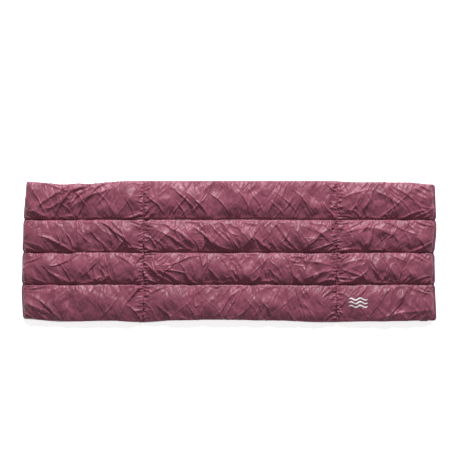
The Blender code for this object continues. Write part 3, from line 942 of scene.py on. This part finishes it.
class WRAP_OT_lining(bpy.types.Operator):
    """Lays the flat nylon lining under the quilt"""

    bl_idname = "wrap.lining"
    bl_label = "Lining"

    def execute(self, context):
        gloss = context.scene.wrap_finish.gloss + 0.06
        lining = calendered_nylon("wine nylon lining", "#77354C", gloss, 0.35)
        sheet = Quilt(stations(STOPS, 6 * MM), stations(LINES, 6 * MM), context.scene.wrap_cloth)
        # it lies on the floor, and lifts a little where the quilting draws it up
        to_line = np.minimum(sheet.share, 1 - sheet.share)
        inner = np.abs(sheet.nominal_y) < HALF_WIDTH - 0.02
        drawn = np.maximum(np.clip(1 - to_line / 0.06, 0, 1) * inner, sheet.from_seam < 0.006)
        pucker = (1 + waves(sheet.x, sheet.y * 0.5, 0.035, 17)) * np.clip(1 - to_line / 0.25, 0, 1)
        lift = np.clip(0.45 * drawn + 0.18 * pucker * inner, 0, 0.5) * MM
        height = LINING_TOP * 0.85 + lift
        points = np.stack([sheet.x, sheet.y, height], -1)
        points[..., 1] *= 0.9985
        normals = normals_of(points)
        for part in PARTS:
            span = columns_of(sheet, part)
            obj = shell_from_grid(
                f"lining_cloth_{part}", points[span], normals[span], LINING_THICKNESS, lining,
            )
            hang(obj)
            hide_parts(f"lining_{body_of(part)}")
        return {"FINISHED"}


def lowest(values, reach):
    """The lowest value within reach steps of each point."""
    for axis in (0, 1):
        around = [np.roll(values, k, axis) for k in range(-reach, reach + 1)]
        values = np.min(around, axis=0)
    return values


class WRAP_OT_fills(bpy.types.Operator):
    """Fills the channels with down"""

    bl_idname = "wrap.fills"
    bl_label = "Down fills"

    def execute(self, context):
        # BDB7AC is painted shade between the down's fibres
        down = fibrous("white down", "#F1EEE7", "#BDB7AC", 140.0, 1.2)
        points, quilt = STATE["face"], STATE["quilt"]
        top = lowest(points[..., 2], 5) - FACE_GAP
        for part, (low, high) in PARTS.items():
            first, last = (
                0.0 if x == MIDDLE else END_GAP if abs(x) == END else SEAM_GAP for x in (low, high)
            )
            for k in range(4):
                block = np.ix_(
                    self.within(quilt.columns, low + first, high - last),
                    self.within(quilt.rows, LINES[k] + SEAM_GAP, LINES[k + 1] - SEAM_GAP),
                )
                obj = self.fill(f"down_{part}_{k + 1}", quilt, top, block, down)
                hang(obj)
                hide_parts(f"fill_{body_of(part)}_{k + 1}")
        return {"FINISHED"}

    @staticmethod
    def within(stops, low, high):
        found = np.flatnonzero((stops > low - 1e-6) & (stops < high + 1e-6))
        return np.unique(np.append(found[::4], found[-1]))

    @staticmethod
    def fill(name, quilt, top, block, material):
        """A closed lump: flat underneath, and a little under the face on top."""
        floor = QUILT_TOP + 0.3 * MM
        height = np.maximum(top[block], floor + 0.8 * MM)
        upper = np.stack([quilt.x[block], quilt.y[block], height], -1)
        lower = upper.copy()
        lower[..., 2] = floor
        return finish_object(name, slab(name, upper, lower), material)


class WRAP_OT_layers(bpy.types.Operator):
    """Lays the heater: felt carrier, carbon ribbon, foil, scrim and leads"""

    bl_idname = "wrap.layers"
    bl_label = "Heater layers"

    def execute(self, context):
        # the second colours, #0E0F11 and #8D877C, are painted shade between the crossings of the
        # weave
        carbon = woven("carbon cloth", "#34373B", "#0E0F11", 1.6 * MM, 0.55)
        scrim = woven("cotton scrim", "#CFC9BF", "#8D877C", 1.4 * MM)
        looks = {
            # 55524D is painted shade between the felt's fibres
            "carrier": (fibrous("needled felt", "#98948E", "#55524D", 260.0), "felt"),
            "heating_ribbon": (carbon, "carbon_ribbon"),
            "foil": (aluminised_foil(), "foil"),
            "backing": (scrim, "backing_scrim"),
            "lead": (moulded("silicone lead", "#1D1D1F", 0.5), "wire_jacket"),
        }
        for label, (material, slot) in looks.items():
            for body in ("left", "centre", "right"):
                for part in parts_of(body):
                    obj = supple_copy(f"{label}_{body}", part, material)
        return {"FINISHED"}


class WRAP_OT_fittings(bpy.types.Operator):
    """Finishes the thermostats, the sensor and the power inlet"""

    bl_idname = "wrap.fittings"
    bl_label = "Fittings"

    def execute(self, context):
        finishes = {
            "thermostat_left": "case",
            "thermostat_centre": "case",
            "thermostat_right": "case",
            "temperature_sensor": "bead",
            "inlet_housing": "housing",
            "inlet_contacts": "contacts",
        }
        materials = {
            "case": drawn_metal("pressed steel case", "#C9C6BC", 0.35),
            "bead": moulded("glass epoxy bead", "#1F3B2C", 0.25, 400.0),
            "housing": moulded("glass-filled nylon moulding", "#17171A", 0.48),
            "contacts": drawn_metal("stamped brass", "#CBA552", 0.28),
        }
        for node, key in finishes.items():
            obj = frame["nodes"][node]
            obj.data.materials.clear()
            obj.data.materials.append(materials[key])
        return {"FINISHED"}


def stitch_tree():
    """Geometry Nodes that lay short threads along a line, each a little askew."""
    tree = bpy.data.node_groups.new("running stitch", "GeometryNodeTree")
    face = tree.interface
    face.new_socket("Geometry", in_out="INPUT", socket_type="NodeSocketGeometry")
    for label in ("Pitch", "Length", "Thickness"):
        face.new_socket(label, in_out="INPUT", socket_type="NodeSocketFloat")
    face.new_socket("Thread", in_out="INPUT", socket_type="NodeSocketMaterial")
    face.new_socket("Geometry", in_out="OUTPUT", socket_type="NodeSocketGeometry")
    given = add(tree, "NodeGroupInput").outputs
    curve = add(tree, "GeometryNodeMeshToCurve", Mesh=given["Geometry"]).outputs["Curve"]
    spaced = add(
        tree, "GeometryNodeResampleCurve", {"mode": "LENGTH"}, Curve=curve, Length=given["Pitch"]
    ).outputs["Curve"]
    thread = add(
        tree, "GeometryNodeMeshUVSphere", Segments=8, Rings=6, Radius=0.5
    ).outputs["Mesh"]
    thread = add(tree, "GeometryNodeSetShadeSmooth", Geometry=thread).outputs["Geometry"]
    tangent = add(tree, "GeometryNodeInputTangent").outputs["Tangent"]
    jitter = add(
        tree, "FunctionNodeRandomValue", {"data_type": "FLOAT_VECTOR"}, Seed=4
    )
    jitter.inputs[0].default_value = (-0.10, -0.10, -0.10)
    jitter.inputs[1].default_value = (0.10, 0.10, 0.10)
    lean = add(
        tree, "ShaderNodeVectorMath", {"operation": "ADD"}, _0=tangent, _1=jitter.outputs[0]
    ).outputs[0]
    turned = add(tree, "FunctionNodeAlignRotationToVector", {"axis": "X"}, Vector=lean).outputs[0]
    size = add(
        tree, "ShaderNodeCombineXYZ", X=given["Length"], Y=given["Thickness"], Z=given["Thickness"]
    ).outputs[0]
    placed = add(
        tree, "GeometryNodeInstanceOnPoints", Points=spaced, Instance=thread, Rotation=turned,
        Scale=size,
    ).outputs["Instances"]
    real = add(tree, "GeometryNodeRealizeInstances", Geometry=placed).outputs["Geometry"]
    dressed = add(
        tree, "GeometryNodeSetMaterial", Geometry=real, Material=given["Thread"]
    ).outputs["Geometry"]
    add(tree, "NodeGroupOutput", Geometry=dressed)
    return tree


def input_key(tree, name):
    return next(
        s.identifier for s in tree.interface.items_tree if s.name == name and s.in_out == "INPUT"
    )


class WRAP_OT_stitching(bpy.types.Operator):
    """Sews the channels, the cross seams and the hems"""

    bl_idname = "wrap.stitching"
    bl_label = "Stitching"

    def execute(self, context):
        scene = context.scene
        points, quilt = STATE["face"], STATE["quilt"]
        thread = twisted_thread(scene.wrap_finish.thread)
        tree = stitch_tree()
        lift = np.array([0, 0, 0.35 * MM])
        for part in PARTS:
            span = columns_of(quilt, part)
            lines = []
            for seam in CHANNEL_SEAMS:
                j = int(np.argmin(np.abs(quilt.rows - seam)))
                line = points[span, j] + lift
                keep = (END - np.abs(quilt.columns[span])) > HEM
                lines.append(line[keep])
                # the same thread shows under the lining
                lines.append(line[keep] * (1, 1, 0) + (0, 0, 0.35 * MM))
            crossings = {
                "centre_west": LEFT_SEAM,
                "centre_east": RIGHT_SEAM,
                "left": HEM - END,
                "right": END - 0.75 * HEM,
            }
            i = int(np.argmin(np.abs(quilt.columns - crossings[part])))
            lines.append(points[i, 2:-2] + lift)
            lines.append(points[i, 2:-2] * (1, 1, 0) + (0, 0, 0.35 * MM))
            self.sew(f"stitching_{part}", lines, part, thread, tree, scene.wrap_stitch)
        return {"FINISHED"}

    def sew(self, name, lines, part, thread, tree, sizes):
        vertices, edges = [], []
        for line in lines:
            first = len(vertices)
            vertices += [tuple(float(v) for v in p) for p in line]
            edges += [(first + k, first + k + 1) for k in range(len(line) - 1)]
        mesh = bpy.data.meshes.new(name)
        mesh.from_pydata(vertices, edges, [])
        guide = bpy.data.objects.new(name, mesh)
        bpy.context.scene.collection.objects.link(guide)
        nodes = guide.modifiers.new("Running stitch", "NODES")
        nodes.node_group = tree
        nodes[input_key(tree, "Pitch")] = sizes.pitch
        nodes[input_key(tree, "Length")] = sizes.length
        nodes[input_key(tree, "Thickness")] = sizes.thickness
        nodes[input_key(tree, "Thread")] = thread
        bpy.context.view_layer.update()
        ready = guide.evaluated_get(bpy.context.evaluated_depsgraph_get())
        sewn = bpy.data.meshes.new_from_object(ready)
        bpy.data.objects.remove(guide, do_unlink=True)
        obj = finish_object(name, sewn, thread)
        hang(obj)
        body = body_of(part)
        nodes = [f"channel_stitch_{body}_{i}" for i in (1, 2, 3)]
        nodes.append({
            "left": "hem_stitch_left",
            "right": "hem_stitch_right",
            "centre_west": "cross_stitch_left",
            "centre_east": "cross_stitch_right",
        }[part])
        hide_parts(*nodes)


class WRAP_OT_heat_mark(bpy.types.Operator):
    """Presses the silver heat symbol onto the face"""

    bl_idname = "wrap.heat_mark"
    bl_label = "Heat mark"

    def execute(self, context):
        film = transfer_film()
        low, high = box_of("heat_mark")
        centre, size = (low + high) / 2, high - low
        skin = bpy.data.objects["face_cloth_right"].data
        tree = BVHTree.FromPolygons(
            [v.co[:] for v in skin.vertices], [tuple(p.vertices) for p in skin.polygons]
        )
        marks = bmesh.new()
        lines, along, across = 3, 36, 3
        for n in range(lines):
            middle = centre.y + (n - 1) * 0.36 * size.y
            rows = []
            for i in range(along + 1):
                u = i / along
                x = low.x + size.x * (0.06 + 0.88 * u)
                wave = 0.10 * size.y * math.sin(2 * math.pi * 2.0 * u)
                half = 0.085 * size.y * math.sin(math.pi * min(max(u, 0.02), 0.98)) ** 0.35
                row = []
                for j in range(across + 1):
                    y = middle + wave + half * (2 * j / across - 1)
                    row.append(marks.verts.new((x, y, self.height(tree, x, y, high.z))))
                rows.append(row)
            for a, b in zip(rows, rows[1:]):
                for j in range(across):
                    marks.faces.new((a[j], b[j], b[j + 1], a[j + 1]))
        mesh = bpy.data.meshes.new("heat_mark_print")
        marks.to_mesh(mesh)
        marks.free()
        mesh.shade_smooth()
        obj = finish_object("heat_mark_print", mesh, film)
        wall = obj.modifiers.new("Film", "SOLIDIFY")
        wall.thickness = 0.15 * MM
        wall.offset = 1.0
        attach(obj, "right")
        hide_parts("heat_mark")
        return {"FINISHED"}

    def height(self, tree, x, y, above):
        hit = tree.ray_cast(Vector((x, y, above + 0.1)), Vector((0, 0, -1)))
        return hit[0].z + 0.35 * MM


class WRAP_OT_stage(bpy.types.Operator):
    """Sets the floor, the soft light and the camera"""

    bl_idname = "wrap.stage"
    bl_label = "Stage"

    def execute(self, context):
        scene = context.scene
        stage = scene.wrap_stage
        bpy.ops.mesh.primitive_plane_add(size=60.0, location=(0, 0, -0.2 * MM))
        floor = context.object
        floor.name = "floor"
        paint, tree, shader, place = start("matt paper floor")
        grain = add(tree, "ShaderNodeTexNoise", Vector=place, Scale=300.0, Detail=2.0)
        bump = add(
            tree, "ShaderNodeBump", Height=grain.outputs["Fac"], Strength=0.05, Distance=0.1 * MM
        )
        tree.links.new(bump.outputs["Normal"], shader.inputs["Normal"])
        shader.inputs["Base Color"].default_value = linear(stage.floor)
        shader.inputs["Roughness"].default_value = 0.9
        # a lit table: it washes out all but the shadow at the very edge
        shader.inputs["Emission Color"].default_value = linear(stage.floor)
        shader.inputs["Emission Strength"].default_value = stage.table
        floor.data.materials.append(paint)

        world = bpy.data.worlds.new("studio air")
        scene.world = world
        world.use_nodes = True
        air = world.node_tree.nodes["Background"]
        air.inputs["Color"].default_value = linear("#FFFFFF")
        air.inputs["Strength"].default_value = stage.air
        self.lamp("window", (0.3, 4.3, 2.5), 1.5, 0.8, stage.window)

        camera = bpy.data.cameras.new("overhead camera")
        camera.lens = stage.lens
        camera.sensor_width = 36.0
        eye = bpy.data.objects.new("overhead camera", camera)
        scene.collection.objects.link(eye)
        # the wrap spans nine tenths of the picture, a little below its middle
        distance = 1.103 * 2 * END * stage.lens / camera.sensor_width
        eye.location = (0.004, 0.093, distance + 0.03)
        scene.camera = eye
        scene.view_settings.view_transform = "Standard"
        return {"FINISHED"}

    def lamp(self, name, place, width, depth, power):
        light = bpy.data.lights.new(name, "AREA")
        light.shape = "RECTANGLE"
        light.size, light.size_y = width, depth
        light.energy = power
        obj = bpy.data.objects.new(name, light)
        bpy.context.scene.collection.objects.link(obj)
        obj.location = place
        obj.rotation_euler = (-Vector(place)).to_track_quat("-Z", "Y").to_euler()


OPERATORS = (
    WRAP_OT_face,
    WRAP_OT_lining,
    WRAP_OT_fills,
    WRAP_OT_layers,
    WRAP_OT_fittings,
    WRAP_OT_stitching,
    WRAP_OT_heat_mark,
    WRAP_OT_stage,
)
GROUPS = {
    "wrap_cloth": WRAP_PG_Cloth,
    "wrap_finish": WRAP_PG_Finish,
    "wrap_stitch": WRAP_PG_Stitch,
    "wrap_stage": WRAP_PG_Stage,
}


class WRAP_PT_panel(bpy.types.Panel):
    """Shows the wrap's settings and a button for each of its steps"""

    bl_idname = "WRAP_PT_panel"
    bl_label = "Heated quilted wrap"
    bl_space_type = "VIEW_3D"
    bl_region_type = "UI"
    bl_category = "Wrap"

    def draw(self, context):
        for name, group in GROUPS.items():
            column = self.layout.column(align=True)
            for key in group.__annotations__:
                column.prop(getattr(context.scene, name), key)
        for operator in OPERATORS:
            self.layout.operator(operator.bl_idname)


def register():
    for name, group in GROUPS.items():
        bpy.utils.register_class(group)
        setattr(bpy.types.Scene, name, PointerProperty(type=group))
    for operator in OPERATORS:
        bpy.utils.register_class(operator)
    bpy.utils.register_class(WRAP_PT_panel)


def unregister():
    bpy.utils.unregister_class(WRAP_PT_panel)
    for operator in reversed(OPERATORS):
        bpy.utils.unregister_class(operator)
    for name, group in GROUPS.items():
        delattr(bpy.types.Scene, name)
        bpy.utils.unregister_class(group)


def main():
    register()
    for operator in OPERATORS:
        group, name = operator.bl_idname.split(".")
        getattr(getattr(bpy.ops, group), name)()


if __name__ == "__main__":
    main()
